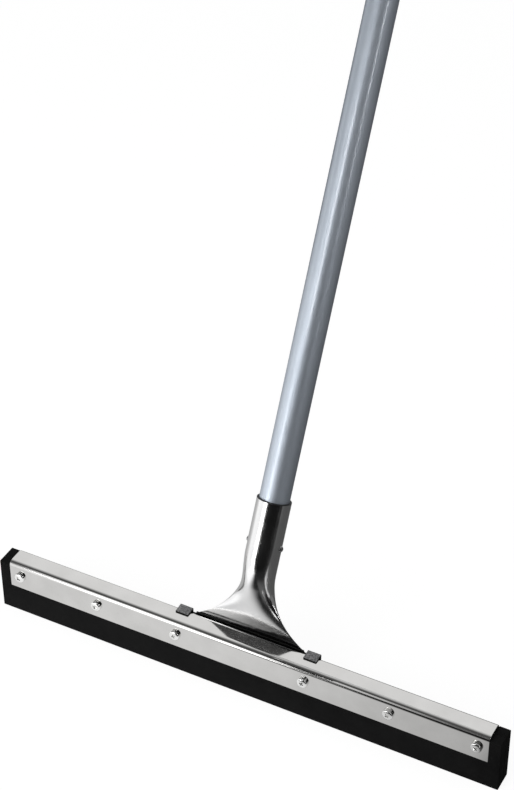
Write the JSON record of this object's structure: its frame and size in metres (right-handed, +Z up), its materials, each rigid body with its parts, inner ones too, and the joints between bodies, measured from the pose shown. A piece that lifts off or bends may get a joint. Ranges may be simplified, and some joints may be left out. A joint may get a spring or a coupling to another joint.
{
  "type": "floor squeegee",
  "caption": "Floor squeegee with a folded steel channel clamping twin foam rubber strips by cross-head screws, a flared chrome socket and a tube handle locked by spring buttons.",
  "frame": {"origin": "middle of the wiping edge, on the seam between the two rubber strips, with the blade standing upright on the floor", "axes": "+X along the blade to the right seen from the screw heads, -Y the side the screw heads face, +Y the side the handle leans to, +Z up"},
  "size_m": [0.457, 0.614, 1.2742],
  "materials": {
    "channel_steel": "bright satin plating with a fine grain along the channel",
    "foam_rubber": "matte black cellular rubber with a fine pored skin",
    "fastener_steel": "bright zinc plating, lightly worn",
    "plate_steel": "dark mottled bare steel",
    "socket_chrome": "polished chrome plating",
    "handle_paint": "satin silver-grey lacquer",
    "spring_steel": "blued spring steel",
    "button_chrome": "polished",
    "cap_plastic": "fine moulded grain"
  },
  "bodies": {
    "head_and_handle": {"frame_channel": "channel_steel", "rubber_front": "foam_rubber", "rubber_back": "foam_rubber", "clamp_screws": "fastener_steel", "clamp_washers": "fastener_steel", "clamp_nuts": "fastener_steel", "back_plate": "plate_steel", "handle_socket": "socket_chrome", "handle_tube": "handle_paint", "spring_clip": "spring_steel", "hanger_cap": "cap_plastic"},
    "left_button": {"button_left": "button_chrome"},
    "right_button": {"button_right": "button_chrome"}
  },
  "joints": [
    {"name": "left_button_press", "type": "slide", "parent": "head_and_handle", "child": "left_button", "axis": [1, 0, 0], "range_m": [0, 0.0038], "stiffness_N_per_m": 3000, "springref_m": -0.001, "deforming": ["spring_clip"]},
    {"name": "right_button_press", "type": "slide", "parent": "head_and_handle", "child": "right_button", "axis": [-1, 0, 0], "range_m": [0, 0.0038], "stiffness_N_per_m": 3000, "springref_m": -0.001, "deforming": ["spring_clip"]}
  ]
}
